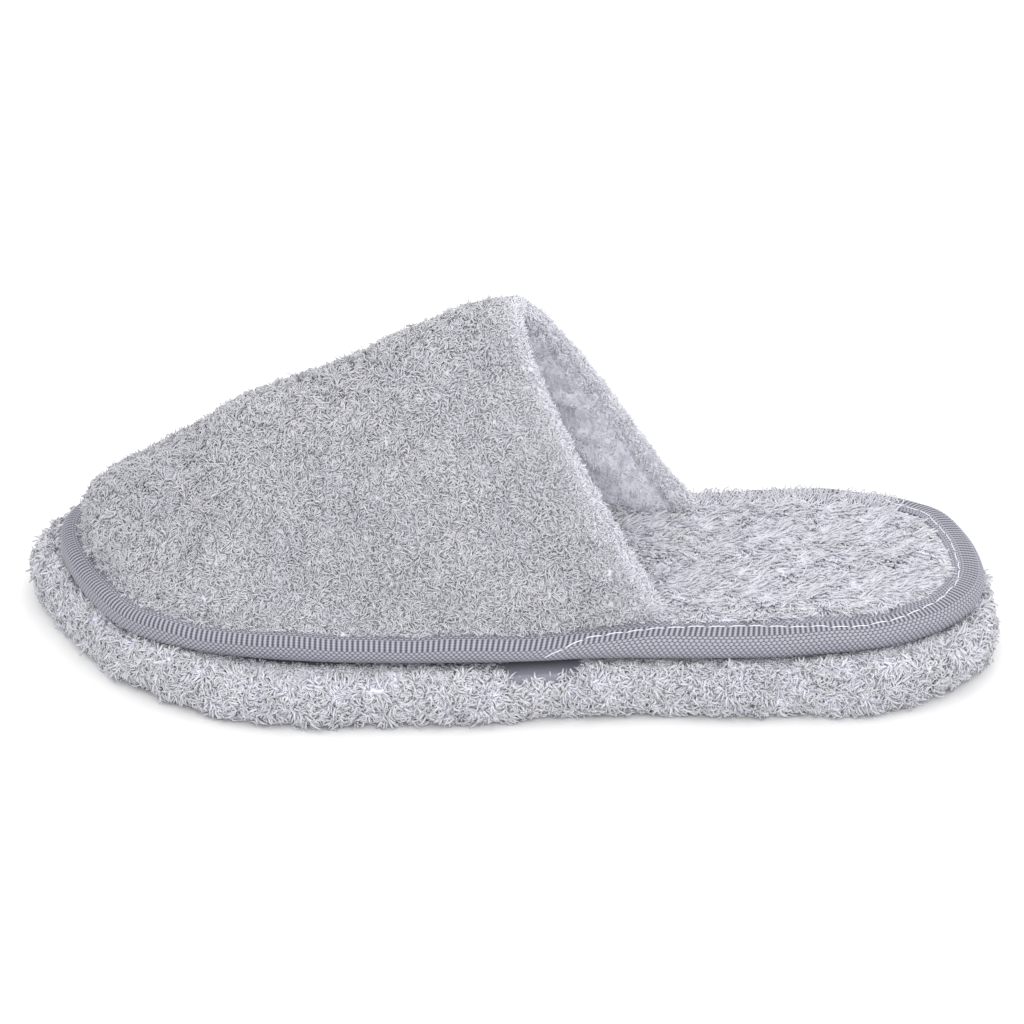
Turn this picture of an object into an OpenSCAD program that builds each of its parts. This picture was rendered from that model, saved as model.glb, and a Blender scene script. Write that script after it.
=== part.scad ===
// Closed-toe terry spa slipper, left foot, lying flat on its sole.
// X runs from the toe (-X) to the heel (+X), Y from the outer side of the foot (-Y) to the
// inner side (+Y), Z up. The origin is under the middle of the sole pad.

/* [Foot bed] */
// Length of the bound foot bed, toe to heel
bed_length = 282; // [230:1:310]
// Width of the bound foot bed at the ball of the foot
bed_width = 108; // [90:1:118]
// Thickness of the stiffening board
board_t = 2; // [1.5:0.5:3]
// Thickness of the foam above the board
bed_foam_t = 3; // [2:0.5:5]
// Height of the foot-bed pile above its ground cloth
bed_pile_t = 4; // [2:0.5:5]

/* [Sole pad] */
// Height of the whole sole pad with its pile
pad_height = 16; // [14:0.5:22]
// Added to the pad's reach past the foot bed, all the way round
pad_more = 0; // [-1:0.5:2]
// Thickness of the terry on the pad's side
pad_side_t = 5; // [3:0.5:6]
// Thickness of the terry under the pad
pad_under_t = 2.5; // [2:0.5:4]
// Height of the bond between pad and foot bed
bond_height = 3.5; // [2.5:0.5:6]

/* [Vamp] */
// Height of the throat's crown above the ground, pile included
crown_height = 112; // [95:0.5:120]
// Thickness of the vamp's terry with its pile
vamp_terry_t = 4; // [3:0.5:5]
// Thickness of the vamp's foam
vamp_foam_t = 2; // [1:0.5:3]
// Thickness of the vamp's fleece lining
vamp_lining_t = 1.5; // [1:0.5:2]
// Fullness of the vamp's arch: 2 is an ellipse, less is more pointed
arch_fullness = 1.9; // [1.7:0.1:2.2]

/* [Throat] */
// Width of the terry band turned in along the throat
facing_width = 5; // [4:0.5:9]
// Thickness of that band
facing_t = 1.5; // [1:0.5:2]
// Roll of the band over the vamp's cut edge
facing_roll = 2.5; // [2:0.5:4]

/* [Binding] */
// Thickness of the woven tape
tape_t = 1; // [0.8:0.1:1.2]
// Width of the tape's upper fold round the heel, where it lies flat
tape_flat_w = 10; // [8:0.5:11]
// Width of the tape's upper fold along the foot of the vamp
tape_vamp_w = 4.3; // [4:0.1:5]
// Width of the tape's upper fold round the toe
tape_toe_w = 6.3; // [4:0.1:7]
// Width of the tape's lower fold
tape_under_w = 11; // [8:0.5:12]
// Length of one binding stitch
stitch_l = 5.5; // [3:0.5:7]
// Thickness of the sewing thread
thread_t = 0.6; // [0.4:0.1:0.8]

/* [Hidden] */

// ---- heights of the layers, from the ground up ----
cloth_t = 1;          // thickness of the ground cloths
z_pad_cloth = pad_height - cloth_t;
z_tape = z_pad_cloth + bond_height - tape_t;
z_board = z_tape + tape_t;
z_bed_foam = z_board + board_t;
z_bed_cloth = z_bed_foam + bed_foam_t;
z_seam = z_bed_cloth + cloth_t;
z_tape_top = z_seam + tape_t;

// ---- outline of the foot bed, counter-clockwise from the heel ----
// The shape points are for a bed 282 long and 108 wide. The third number of each is how far
// the sole pad reaches past the foot bed there.
shape_length = 282;
shape_width = 108;
SHAPE = [[143, -3, 3.8], [133, 30, 3.8], [101, 43.5, 4.2], [50, 42, 4], [0, 46, 5], [-50, 52, 6.5],
         [-95, 54, 9.5], [-126, 46, 12], [-139, 22, 10], [-131, -10, 3.8], [-111, -38, 3.2],
         [-75, -51, 10], [-25, -54, 7.5], [30, -51.5, 5.5], [80, -50.5, 6], [115, -43, 9.5],
         [136, -27, 6.5]];
shape_n = len(SHAPE);
// Places along the outline, counted in shape points
u_far_end = 2.9;      // inner end of the throat
u_far_toe = 6.0;      // where the toe cap begins on the inner side
u_near_toe = 10.4;    // where the toe cap begins on the outer side
u_near_end = 13.3;    // outer end of the throat
outline_n = 102;      // points in a drawn outline

function shape_point(i) = let (p = SHAPE[(i + shape_n) % shape_n])
    [p.x * bed_length / shape_length, p.y * bed_width / shape_width, p.z + pad_more];

// A smooth curve through four neighbouring points, f from 0 at b to 1 at c
function curve(a, b, c, d, f) =
    0.5 * (2 * b + (c - a) * f + (2 * a - 5 * b + 4 * c - d) * f * f
           + (3 * b - a - 3 * c + d) * f * f * f);

function wrapped(u) = u - shape_n * floor(u / shape_n);
function shape_curve(u) = let (v = wrapped(u), i = floor(v))
    curve(shape_point(i - 1), shape_point(i), shape_point(i + 1), shape_point(i + 2), v - i);
function rim(u) = let (p = shape_curve(u)) [p.x, p.y];
function pad_reach(u) = shape_curve(u).z;

small_u = 0.02;       // step along the outline over which its direction is taken
function unit(v) = v / norm(v);
function inward(u) = let (t = unit(rim(u + small_u) - rim(u - small_u))) [-t.y, t.x];
function rim_in(u, d) = rim(u) + d * inward(u);
function pad_in(u, d) = rim_in(u, d - pad_reach(u));

function stations(n) = [for (i = [0:n - 1]) shape_n * i / n];
function bed_outline(d) = [for (u = stations(outline_n)) rim_in(u, d)];
function pad_outline(d) = [for (u = stations(outline_n)) pad_in(u, d)];

// The pad is the widest piece, so its outline centres the frame
PAD = pad_outline(0);
pad_x = [for (p = PAD) p.x];
pad_y = [for (p = PAD) p.y];
centre = [-(max(pad_x) + min(pad_x)) / 2, -(max(pad_y) + min(pad_y)) / 2, 0];
module centred() { translate(centre) children(); }

// Depth of the lining's inner face under the vamp's outer face
lining_d = vamp_terry_t + vamp_foam_t + vamp_lining_t;

// ---- how far the tape's upper fold reaches in ----
function smooth(x) = let (v = min(1, max(0, x))) v * v * (3 - 2 * v);
// 1 along the vamp, falling to 0 over the given run before or past the throat's two ends
function by_vamp(u, past, run) = let (v = wrapped(u))
    smooth((v - u_far_end + past) / run) * smooth((u_near_end + past - v) / run);
// 1 round the toe, falling to 0 over the given run towards the two sides
function by_toe(u, run) = let (v = wrapped(u))
    smooth((v - u_far_toe) / run) * smooth((u_near_toe - v) / run);
fold_run = 0.75;      // run over which the fold changes at the throat's ends
toe_run = 1;          // and round the toe
function upper_fold(u) = tape_flat_w + (tape_vamp_w - tape_flat_w) * by_vamp(u, 0, fold_run)
    + (tape_toe_w - tape_vamp_w) * by_toe(u, toe_run);

// ---- the vamp's outer face ----
// Points of its crown line, from the toe to the throat, for a crown 112 high
shape_crown = 112;
CROWN = [[-134, 22, 24.5], [-132, 20, 36], [-121, 16, 46], [-98, 10, 61],
         [-60, 4, 84.5], [-22, 0, 103.5], [0.5, -1, 112]];
crown_n = len(CROWN) - 1;

function crown_point(i) =
    i < 0 ? 2 * crown_point(0) - crown_point(1)
    : i > crown_n ? 2 * crown_point(crown_n) - crown_point(crown_n - 1)
    : let (p = CROWN[i], rise = (p.z - CROWN[0].z) / (shape_crown - CROWN[0].z))
      [p.x * bed_length / shape_length, p.y * bed_width / shape_width,
       z_seam + rise * (crown_height - z_seam)];
function crown_line(s) = let (v = s * crown_n, i = min(crown_n - 1, floor(v)))
    curve(crown_point(i - 1), crown_point(i), crown_point(i + 1), crown_point(i + 2), v - i);

// The faces of the vamp's layers differ only in their depth d under its outer face:
// the crown line sinks by d and the seam moves in by d.
small_s = 0.01;       // step along the crown over which its direction is taken
function crown(s, d) =
    let (go = crown_line(min(1, s + small_s)) - crown_line(max(0, s - small_s)),
         n = norm([go.x, go.z]))
    crown_line(s) + d * [go.z, 0, -go.x] / n;

// The vamp's outer face stands just inside the tape's upper fold
foot_gap = 0.2;
function seam(u, d) = let (p = rim_in(u, upper_fold(u) + foot_gap + d)) [p.x, p.y, z_seam];
function power(v, e) = sign(v) * pow(abs(v), e);

// One arch from the outer seam (t = 0) over the crown to the inner seam (t = 1)
function arch(s, t, d) =
    let (a = seam(u_near_toe + (u_near_end - u_near_toe) * s, d),
         b = seam(u_far_toe + (u_far_end - u_far_toe) * s, d),
         across = power(cos(180 * t), 2 / arch_fullness),
         up = power(sin(180 * t), 2 / arch_fullness))
    (a + b) / 2 - across * (b - a) / 2 + up * (crown(s, d) - (a + b) / 2);

// Near the toe the arches lean over until the first one is the toe's seam itself
toe_cap_s = 0.35;     // share of the vamp over which they lean
function face(s, t, d) =
    let (lean = pow(max(0, 1 - s / toe_cap_s), 2),
         toe = seam(u_near_toe + (u_far_toe - u_near_toe) * t, d))
    arch(s, t, d) + lean * (toe - arch(0, t, d));

// A point of the throat's edge at depth d, carried past the edge by a
edge_s = 0.97;        // where the vamp's direction at the throat is taken from
function past_throat(t, a, d) = let (p = face(1, t, d)) p + a * unit(p - face(edge_s, t, d));

// ---- solids swept from rings of points ----
function sweep_points(rings) = [for (r = rings) each r];
// Every ring is closed; with loop the last ring joins the first too
function sweep_faces(rows, cols, loop) =
    [for (i = [0:rows - (loop ? 1 : 2)], j = [0:cols - 1])
        let (k = (j + 1) % cols, m = (i + 1) % rows)
        each [[i * cols + j, i * cols + k, m * cols + k], [i * cols + j, m * cols + k, m * cols + j]]];

module loop_sweep(rings) {
    polyhedron(sweep_points(rings), sweep_faces(len(rings), len(rings[0]), true));
}

// Open strip: the first and last stations are closed by flat ends
module strip_sweep(rings) {
    rows = len(rings);
    cols = len(rings[0]);
    polyhedron(sweep_points(rings),
        concat(sweep_faces(rows, cols, false),
               [[for (j = [cols - 1:-1:0]) j]],
               [[for (j = [0:cols - 1]) (rows - 1) * cols + j]]));
}

// A shell between two depths of the vamp, with rows from toe to throat and columns across
vamp_rows = 22;
vamp_cols = 30;
toe_crowding = 1.4;   // above 1, rows crowd towards the toe, where the crown turns
module vamp_shell(d_out, d_in) {
    rows = vamp_rows;
    cols = vamp_cols;
    w = cols + 1;
    block = (rows + 1) * w;
    function s_at(i) = pow(i / rows, toe_crowding);
    pts = concat([for (i = [0:rows], j = [0:cols]) face(s_at(i), j / cols, d_out)],
                 [for (i = [0:rows], j = [0:cols]) face(s_at(i), j / cols, d_in)]);
    outer = [for (i = [0:rows - 1], j = [0:cols - 1])
        let (a = i * w + j) each [[a, a + 1, a + w + 1], [a, a + w + 1, a + w]]];
    inner = [for (f = outer) [f[2] + block, f[1] + block, f[0] + block]];
    // the border runs once round the grid and joins the two faces
    border = concat([for (j = [0:cols - 1]) j], [for (i = [0:rows - 1]) i * w + cols],
                    [for (j = [cols:-1:1]) rows * w + j], [for (i = [rows:-1:1]) i * w]);
    n = len(border);
    edge = [for (k = [0:n - 1])
        let (a = border[k], b = border[(k + 1) % n])
        each [[b, a, a + block], [b, a + block, b + block]]];
    polyhedron(pts, concat(outer, inner, edge));
}

// ---- sole pad ----
// Its terry is a tray with a rounded side and a narrow lip over the top cloth
module sole_terry_cover() {
    round_w = 6;      // reach inwards of the rounding at the foot and the shoulder
    foot_h = 4;       // height of the rounding at the foot
    shoulder_h = 6;   // height of the rounding at the shoulder
    lip_w = 13;       // from the pad's edge to the inner edge of the lip
    profile = [[round_w, 0], [round_w / 3, foot_h / 5], [0, foot_h],
               [0, pad_height - shoulder_h], [round_w / 4, pad_height - shoulder_h / 3],
               [round_w * 5 / 6, pad_height], [lip_w, pad_height], [lip_w, z_pad_cloth],
               [pad_side_t, z_pad_cloth], [pad_side_t, pad_under_t]];
    n = outline_n;
    cols = len(profile);
    pts = [for (u = stations(n)) each [for (p = profile) let (q = pad_in(u, p.x)) [q.x, q.y, p.y]]];
    sides = [for (i = [0:n - 1], j = [0:cols - 2])
        let (a = i * cols + j, b = ((i + 1) % n) * cols + j)
        each [[a, a + 1, b + 1], [a, b + 1, b]]];
    bottom = [for (i = [0:n - 1]) i * cols];
    inside = [for (i = [n - 1:-1:0]) i * cols + cols - 1];
    color("lavender") centred() polyhedron(pts, concat(sides, [bottom, inside]));
}

module sole_foam() {
    color("whitesmoke") centred() translate([0, 0, pad_under_t])
        linear_extrude(z_pad_cloth - cloth_t - pad_under_t) polygon(pad_outline(pad_side_t));
}

module sole_top_cloth() {
    color("slategray") centred() translate([0, 0, z_pad_cloth - cloth_t])
        linear_extrude(cloth_t) polygon(pad_outline(pad_side_t));
}

module bond_layer() {
    bond_inset = tape_under_w + 9;   // it stays well inside the tape's lower fold
    color("gray") centred() translate([0, 0, z_pad_cloth])
        linear_extrude(bond_height) polygon(bed_outline(bond_inset));
}

// ---- foot bed ----
bed_inset = tape_t + 0.2;   // its layers end just inside the tape
module insole_board() {
    color("tan") centred() translate([0, 0, z_board])
        linear_extrude(board_t) polygon(bed_outline(bed_inset));
}

module insole_foam() {
    color("whitesmoke") centred() translate([0, 0, z_bed_foam])
        linear_extrude(bed_foam_t) polygon(bed_outline(bed_inset));
}

module insole_terry() {
    // the pile stops at the tape round the heel and at the vamp's inner face in front
    gap = 0.5;        // left clear along both
    inside_vamp = lining_d + facing_t + thread_t + gap;
    early = 0.4;      // it has moved in by this much before the throat's ends
    run = 0.28;
    pile = [for (u = stations(outline_n))
        rim_in(u, upper_fold(u) + gap + inside_vamp * by_vamp(u, early, run))];
    color("gainsboro") centred() translate([0, 0, z_bed_cloth]) {
        linear_extrude(cloth_t) polygon(bed_outline(bed_inset));
        linear_extrude(cloth_t + bed_pile_t) polygon(pile);
    }
}

// ---- vamp ----
module vamp_terry() {
    color("silver") centred() vamp_shell(0, vamp_terry_t);
}

module vamp_foam() {
    d = vamp_terry_t;
    color("whitesmoke") centred() vamp_shell(d, d + vamp_foam_t);
}

module vamp_lining() {
    d = vamp_terry_t + vamp_foam_t;
    color("ghostwhite") centred() vamp_shell(d, d + vamp_lining_t);
}

// ---- throat ----
module throat_facing() {
    steps = 36;
    end_gap = 0.01;   // share of the throat left free at each end
    rings = [for (j = [0:steps]) let (t = end_gap + (1 - 2 * end_gap) * j / steps)
        [past_throat(t, 0, 0), past_throat(t, facing_roll, 0),
         past_throat(t, facing_roll, lining_d + facing_t),
         past_throat(t, -facing_width, lining_d + facing_t),
         past_throat(t, -facing_width, lining_d), past_throat(t, 0, lining_d)]];
    color("lightsteelblue") centred() strip_sweep(rings);
}

module throat_stitch() {
    count = 40;
    gap = 0.35;       // share of each stitch's pitch that is gap
    end_gap = 0.03;   // share of the throat left free at each end
    d = lining_d + facing_t;
    a = 1 - facing_width;   // the seam runs 1 inside the band's edge
    function t_at(k) = end_gap + (1 - 2 * end_gap) * k / count;
    color("white") centred() for (j = [0:count - 1])
        strip_sweep([for (t = [t_at(j + gap / 2), t_at(j + 1 - gap / 2)])
            [past_throat(t, a, d), past_throat(t, a, d + thread_t),
             past_throat(t, a + thread_t, d + thread_t), past_throat(t, a + thread_t, d)]]);
}

// ---- binding ----
module edge_binding() {
    r = 1.6;          // rounding of its outer corners
    function tape_profile(w) =
        [[tape_under_w, z_tape], [r, z_tape], [r / 4, z_tape + r / 2], [0, z_tape + r * 3 / 2],
         [0, z_tape_top - r * 3 / 2], [r / 4, z_tape_top - r / 2], [r, z_tape_top],
         [w, z_tape_top], [w, z_seam], [tape_t, z_seam], [tape_t, z_board],
         [tape_under_w, z_board]];
    color("lightslategray") centred() loop_sweep([for (u = stations(outline_n))
        [for (p = tape_profile(upper_fold(u))) let (q = rim_in(u, p.x)) [q.x, q.y, p.y]]]);
}

// The stitches show from just before the vamp's outer end, round the heel, to its inner end
module binding_stitch() {
    from_fold_edge = 4.5;   // the seam's distance from the upper fold's inner edge
    gap = 0.5;        // between one stitch and the next
    first = u_near_end - 0.45;
    span = shape_n + u_far_end - first;
    steps = 160;      // pieces in which the way along the tape is measured
    run = [for (i = [0:steps]) rim(first + span * i / steps)];
    function travelled(i) = i == 0 ? 0 : travelled(i - 1) + norm(run[i] - run[i - 1]);
    table = [for (i = [0:steps]) [travelled(i), first + span * i / steps]];
    pitch = stitch_l + gap;
    count = floor(table[steps][0] / pitch);
    function place(along) = let (u = lookup(along, table)) rim_in(u, upper_fold(u) - from_fold_edge);
    color("white") centred() for (k = [0:count - 1])
        let (a = place(k * pitch), b = place(k * pitch + stitch_l))
        translate([a.x, a.y, z_tape_top]) rotate(atan2(b.y - a.y, b.x - a.x))
            translate([0, -thread_t / 2, 0]) cube([norm(b - a), thread_t, thread_t]);
}

sole_terry_cover();
sole_foam();
sole_top_cloth();
bond_layer();
insole_board();
insole_foam();
insole_terry();
vamp_terry();
vamp_foam();
vamp_lining();
throat_facing();
throat_stitch();
edge_binding();
binding_stitch();
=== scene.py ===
"""Looks of a closed-toe terry spa slipper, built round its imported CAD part.

X runs from toe to heel, Y to the inner side of the foot, Z up. Shapes are worked out in
millimetres, as the CAD is, and become metres when a mesh is made.
"""
import math

import bpy
import numpy as np
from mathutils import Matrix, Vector


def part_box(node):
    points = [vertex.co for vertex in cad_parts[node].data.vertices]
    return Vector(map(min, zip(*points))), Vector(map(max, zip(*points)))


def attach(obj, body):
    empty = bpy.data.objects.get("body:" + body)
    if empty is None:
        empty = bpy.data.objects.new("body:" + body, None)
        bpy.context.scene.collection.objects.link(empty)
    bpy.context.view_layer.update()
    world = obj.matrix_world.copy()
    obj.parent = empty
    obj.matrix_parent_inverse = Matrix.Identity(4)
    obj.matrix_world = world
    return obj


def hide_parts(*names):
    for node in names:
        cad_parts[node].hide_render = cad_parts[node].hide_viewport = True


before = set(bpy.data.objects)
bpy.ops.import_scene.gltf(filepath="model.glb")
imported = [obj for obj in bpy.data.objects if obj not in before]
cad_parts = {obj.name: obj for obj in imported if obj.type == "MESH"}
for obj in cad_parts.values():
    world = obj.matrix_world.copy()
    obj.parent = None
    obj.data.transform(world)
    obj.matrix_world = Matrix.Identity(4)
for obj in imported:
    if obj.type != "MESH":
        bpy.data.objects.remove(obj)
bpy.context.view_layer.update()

MM = 0.001
BAKE_UV = "OFBake"  # the UV layer that materials here read, so a baked map fits them


# ---------------------------------------------------------------- sizes, from the CAD's nodes
def node_box(name):
    """Lowest and highest corner of a CAD node, in mm."""
    low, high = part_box(name)
    return np.array(low) / MM, np.array(high) / MM


tape_low, tape_high = node_box("edge_binding")
vamp_low, vamp_high = node_box("vamp_terry")
pad_low, pad_high = node_box("sole_terry_cover")
pad_cloth_high = node_box("sole_top_cloth")[1]

Z_SEAM = vamp_low[2]  # the vamp's foot stands on the foot bed's cloth here

# widths of the tape's folds, as in the CAD: the upper one by the heel, the vamp and the toe, and the lower
TAPE_FLAT_W, TAPE_VAMP_W, TAPE_TOE_W, TAPE_UNDER_W = 10.0, 4.3, 6.3, 11.0

VAMP_PILE = 1.7  # depth of the vamp's ground cloth under the tips of its pile
LINING_DEPTH = 6.35  # depth of the lining's face under the same
FACING_W = 4.0  # width of the band turned in along the throat
THROAT_S = 0.985  # where the cloths end before the CAD's throat edge, so that the pile reaches it

# ---------------------------------------------------------------- outline of the foot bed
# Shape points counter-clockwise from the heel, in the proportions of the CAD outline. The third
# number of each is how far the sole pad reaches past the foot bed there.
SHAPE = np.array(
    [(143, -3, 3.8), (133, 30, 3.8), (101, 43.5, 4.2), (50, 42, 4), (0, 46, 5), (-50, 52, 6.5),
     (-95, 54, 9.5), (-126, 46, 12), (-139, 22, 10), (-131, -10, 3.8), (-111, -38, 3.2),
     (-75, -51, 10), (-25, -54, 7.5), (30, -51.5, 5.5), (80, -50.5, 6), (115, -43, 9.5),
     (136, -27, 6.5)], float)
SHAPE_N = len(SHAPE)
FAR_END, FAR_TOE, NEAR_TOE, NEAR_END = 2.9, 6.0, 10.4, 13.3  # places along the outline


def curve(a, b, c, d, f):
    """Catmull-Rom curve from b (f = 0) to c (f = 1)."""
    return 0.5 * (2 * b + (c - a) * f + (2 * a - 5 * b + 4 * c - d) * f**2
                  + (3 * b - a - 3 * c + d) * f**3)


def shape_curve(u):
    u = np.asarray(u, float) % SHAPE_N
    i = np.floor(u).astype(int)
    f = (u - i)[..., None]
    return curve(SHAPE[i - 1], SHAPE[i], SHAPE[(i + 1) % SHAPE_N], SHAPE[(i + 2) % SHAPE_N], f)


drawn = shape_curve(np.arange(0, SHAPE_N, 1 / 6))[:, :2]
SHAPE_LOW, SHAPE_HIGH = drawn.min(0), drawn.max(0)
FIT = (tape_high - tape_low)[:2] / (SHAPE_HIGH - SHAPE_LOW)


def fitted(p):
    """A point of the shape's own proportions, in the CAD's place and size."""
    p = np.array(p, float)
    p[..., :2] = (p[..., :2] - SHAPE_LOW) * FIT + tape_low[:2]
    return p


def rim(u):
    return fitted(shape_curve(u)[..., :2])


def rim_in(u, d):
    """The outline at u, moved d inwards."""
    u = np.asarray(u, float)
    t = unit(rim(u + 0.02) - rim(u - 0.02))
    inward = np.stack([-t[..., 1], t[..., 0]], -1)
    return rim(u) + inward * (np.asarray(d) * np.ones(u.shape))[..., None]


def pad_in(u, d):
    return rim_in(u, d - shape_curve(u)[..., 2])


def unit(v):
    return v / np.maximum(np.linalg.norm(v, axis=-1, keepdims=True), 1e-9)


def smooth(x):
    x = np.clip(x, 0, 1)
    return x * x * (3 - 2 * x)


def by_vamp(u, past=0.0, run=0.75):
    """1 along the vamp's foot, falling to 0 before or past the throat's two ends."""
    v = np.asarray(u, float) % SHAPE_N
    return smooth((v - FAR_END + past) / run) * smooth((NEAR_END + past - v) / run)


def by_toe(u):
    v = np.asarray(u, float) % SHAPE_N
    return smooth(v - FAR_TOE) * smooth(NEAR_TOE - v)


def upper_fold(u):
    return (TAPE_FLAT_W + (TAPE_VAMP_W - TAPE_FLAT_W) * by_vamp(u)
            + (TAPE_TOE_W - TAPE_VAMP_W) * by_toe(u))


def even_stations(count, first=0.0, last=SHAPE_N, d=0.0):
    """Places along the outline, evenly spaced in length along the line d inside it."""
    u = np.linspace(first, last, 4001)
    p = rim_in(u, d)
    run = np.concatenate([[0], np.cumsum(np.linalg.norm(np.diff(p, axis=0), axis=1))])
    return np.interp(np.linspace(0, run[-1], count), run, u), run[-1]


# ---------------------------------------------------------------- the vamp's faces
CROWN = np.array([(-134, 22, 24.5), (-132, 20, 36), (-121, 16, 46), (-98, 10, 61),
                  (-60, 4, 84.5), (-22, 0, 103.5), (0.5, -1, 112)], float)
CROWN_TOP = 112
crown_points = fitted(CROWN)
crown_points[:, 2] = Z_SEAM + (CROWN[:, 2] - CROWN[0, 2]) * (vamp_high[2] - Z_SEAM) / (
    CROWN_TOP - CROWN[0, 2])
FULLNESS = 1.9


def crown_line(s):
    k = np.vstack([2 * crown_points[0] - crown_points[1], crown_points,
                   2 * crown_points[-1] - crown_points[-2]])
    v = np.asarray(s, float) * (len(CROWN) - 1)
    i = np.clip(np.floor(v).astype(int), 0, len(CROWN) - 2)
    return curve(k[i], k[i + 1], k[i + 2], k[i + 3], (v - i)[..., None])


def crown(s, d):
    go = crown_line(np.clip(s + 0.01, 0, 1)) - crown_line(np.clip(s - 0.01, 0, 1))
    down = unit(np.stack([go[..., 2], 0 * go[..., 0], -go[..., 0]], -1))
    return crown_line(s) + np.asarray(d)[..., None] * down


def seam(u, d):
    p = rim_in(u, upper_fold(u) + 0.2 + d)
    return np.concatenate([p, np.full(p.shape[:-1] + (1,), Z_SEAM)], -1)


def power(v, e):
    return np.sign(v) * np.abs(v) ** e


def arch(s, t, d):
    a = seam(NEAR_TOE + (NEAR_END - NEAR_TOE) * s, d)
    b = seam(FAR_TOE + (FAR_END - FAR_TOE) * s, d)
    across = power(np.cos(np.pi * t), 2 / FULLNESS)[..., None]
    up = power(np.sin(np.pi * t), 2 / FULLNESS)[..., None]
    return (a + b) / 2 - across * (b - a) / 2 + up * (crown(s, d) - (a + b) / 2)


def vamp_face(s, t, d):
    """The vamp at depth d: s from toe to throat, t from the outer seam to the inner one."""
    s, t, d = np.broadcast_arrays(np.asarray(s, float), np.asarray(t, float), np.asarray(d, float))
    lean = (np.clip(1 - s / 0.35, 0, 1) ** 2)[..., None]
    toe = seam(NEAR_TOE + (FAR_TOE - NEAR_TOE) * t, d)
    return arch(s, t, d) + lean * (toe - arch(0 * s, t, d))


def past_throat(t, a, d):
    """A point of the throat's edge at depth d, carried past the edge by a."""
    one = np.ones(np.broadcast(t, d).shape)
    p = vamp_face(one, t, d)
    return p + np.asarray(a)[..., None] * unit(p - vamp_face(0.97 * one, t, d))


# ---------------------------------------------------------------- soft unevenness
def ripples(p, size, seed, count=14):
    """Smooth noise from -1 to 1 at the points p, with lumps about size mm across."""
    rng = np.random.default_rng(seed)
    k = unit(rng.normal(size=(count, 3))) * (2 * np.pi / size) * rng.uniform(0.6, 1.5, (count, 1))
    return np.sin(p @ k.T + rng.uniform(0, 2 * np.pi, count)).sum(-1) / math.sqrt(count)


def grid_normals(g, closed=False):
    """Unit normals of a grid of points, (rows, cols, 3)."""
    if closed:
        du = np.roll(g, -1, 0) - np.roll(g, 1, 0)
    else:
        du = np.gradient(g, axis=0)
    dv = np.gradient(g, axis=1)
    return unit(np.cross(du, dv))


# ---------------------------------------------------------------- meshes
def place(obj, material):
    obj.data.materials.append(material)
    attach(obj, "root")
    return obj


def new_mesh(name, points, loops, starts, uv=None):
    """A smooth-shaded mesh from flat arrays; points are in mm, uv is one pair for each loop."""
    mesh = bpy.data.meshes.new(name)
    mesh.vertices.add(len(points))
    mesh.vertices.foreach_set("co", (points * MM).astype(np.float32).ravel())
    mesh.loops.add(len(loops))
    mesh.loops.foreach_set("vertex_index", loops.astype(np.int32))
    mesh.polygons.add(len(starts))
    mesh.polygons.foreach_set("loop_start", starts.astype(np.int32))
    mesh.update(calc_edges=True)
    mesh.polygons.foreach_set("use_smooth", np.ones(len(starts), bool))
    if uv is not None:
        layer = mesh.uv_layers.new(name=BAKE_UV)
        layer.data.foreach_set("uv", uv.astype(np.float32).ravel())
    mesh.validate()
    obj = bpy.data.objects.new(name, mesh)
    bpy.context.scene.collection.objects.link(obj)
    return obj


def grid_quads(rows, cols, closed):
    """Vertex numbers of a grid's quads, in order round each; closed joins the last row to the first."""
    i = np.arange(rows if closed else rows - 1)[:, None]
    j = np.arange(cols - 1)[None, :]
    k = (i + 1) % rows
    return np.stack([i * cols + j, k * cols + j, k * cols + j + 1, i * cols + j + 1], -1)


def grid_mesh(name, g, closed=False, flip=False, uv_tiles=1):
    """A sheet from a grid of points. U runs along the rows in uv_tiles equal tiles, V across."""
    rows, cols = g.shape[:2]
    quads = grid_quads(rows, cols, closed)
    n = quads.shape[0]
    per_tile = n / uv_tiles
    u0 = (np.arange(n) % per_tile) / per_tile
    u1 = u0 + 1 / per_tile
    v = np.arange(cols) / (cols - 1)
    uv = np.empty(quads.shape + (2,))
    uv[..., 0, 0] = uv[..., 3, 0] = u0[:, None]
    uv[..., 1, 0] = uv[..., 2, 0] = u1[:, None]
    uv[..., 0, 1] = uv[..., 1, 1] = v[None, :-1]
    uv[..., 2, 1] = uv[..., 3, 1] = v[None, 1:]
    quads, uv = quads.reshape(-1, 4), uv.reshape(-1, 4, 2)
    if flip:
        quads, uv = quads[:, ::-1], uv[:, ::-1]
    return new_mesh(name, g.reshape(-1, 3), quads.ravel(), np.arange(len(quads)) * 4, uv)


SHADES = 16  # pile strands come in this many shades, side by side in the UV map
TUFT = 6  # size in mm of the tufts in which the pile curls together
ON_GROUND = 0.4  # middle of a strand pressed flat between the sole and the ground, in mm


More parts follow.
